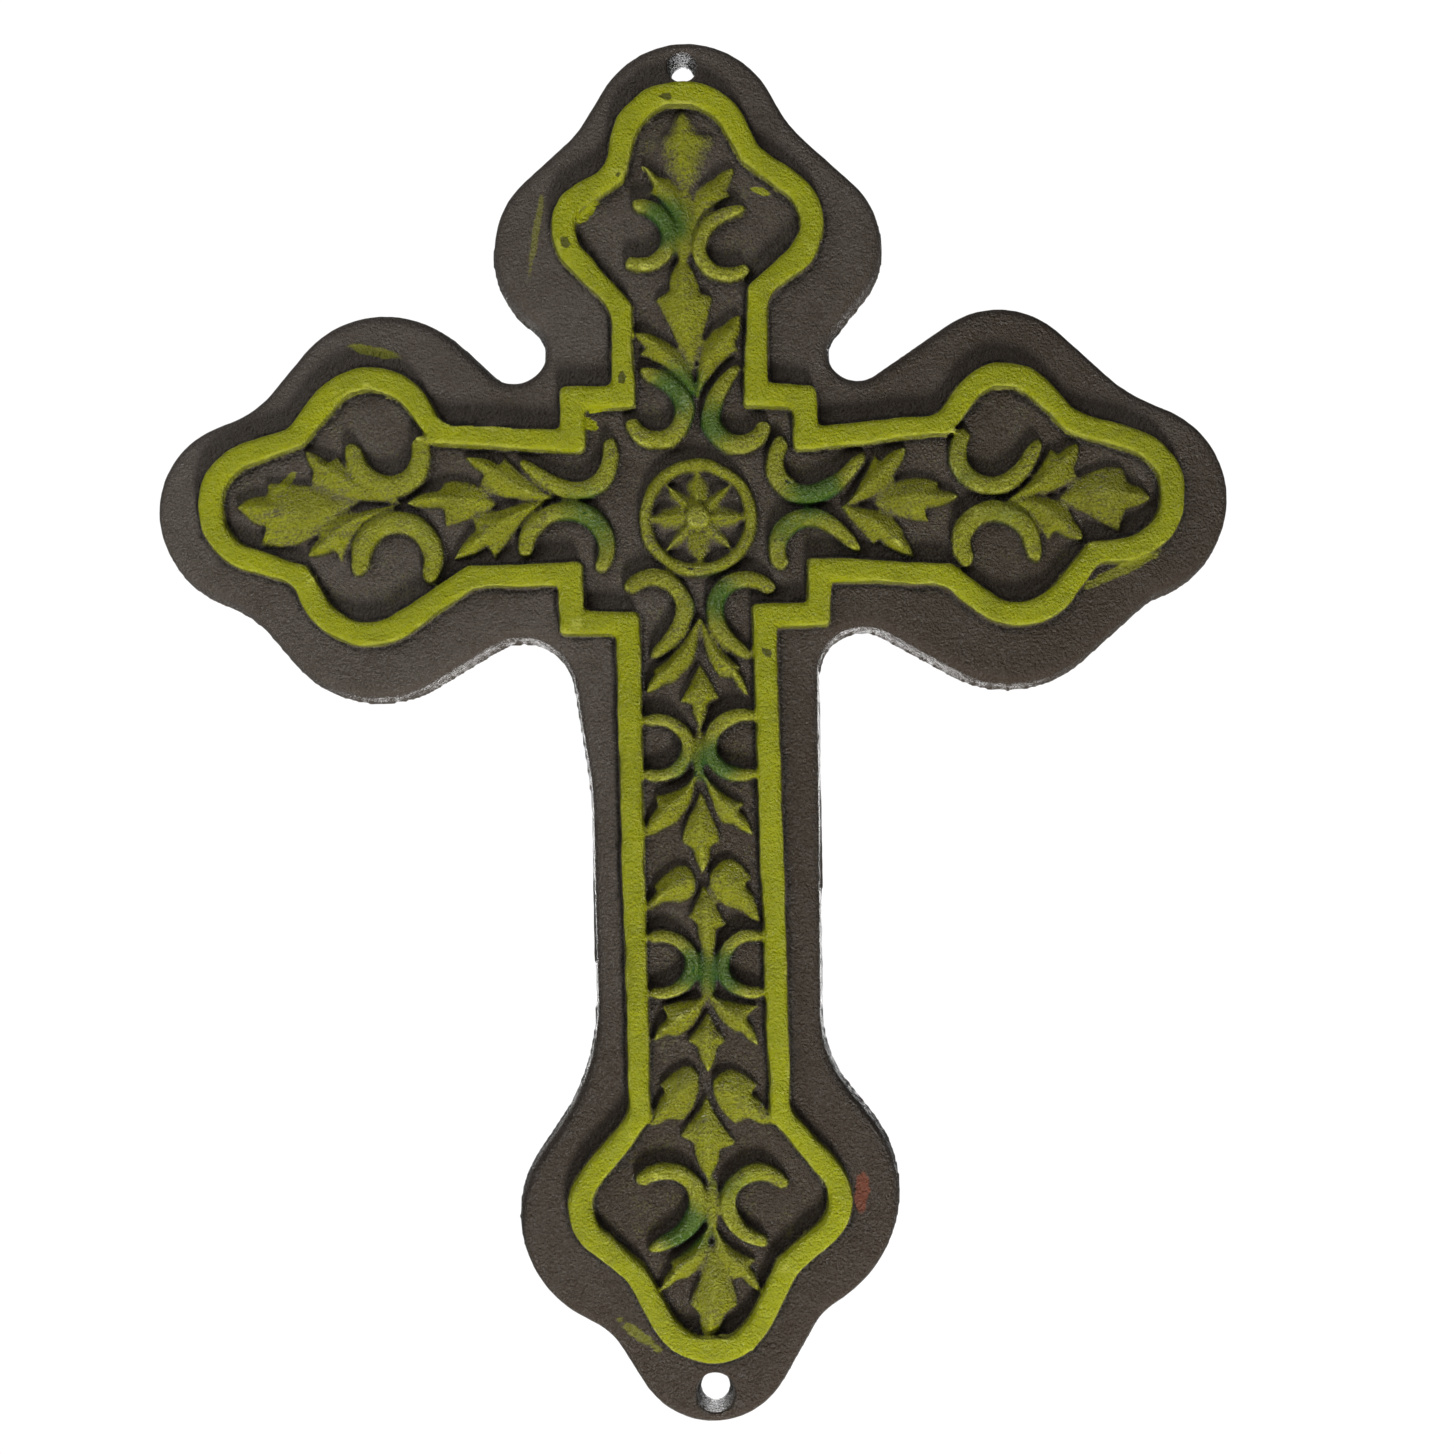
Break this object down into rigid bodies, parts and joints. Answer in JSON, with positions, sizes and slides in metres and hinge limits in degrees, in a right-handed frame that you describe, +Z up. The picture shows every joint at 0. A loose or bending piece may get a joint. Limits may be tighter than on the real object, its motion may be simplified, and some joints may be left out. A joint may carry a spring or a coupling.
{
  "type": "wall cross",
  "caption": "Painted cast-iron wall cross with trefoil ends, a raised band along its outline, scrolls and leaves in relief, a medallion at the crossing and tapered screw holes.",
  "frame": {"origin": "on the flat back, behind the centre of the medallion at the crossing", "axes": "+Z up along the stem, +X to the right seen from the front, +Y into the wall, so the relief faces -Y"},
  "size_m": [0.2311, 0.0098, 0.2978],
  "materials": {
    "painted_iron": "dark brown-grey paint over sand-cast iron, with a green band and dry-brushed green on the relief"
  },
  "bodies": {
    "root": {"cross_casting": "painted_iron"}
  },
  "joints": []
}
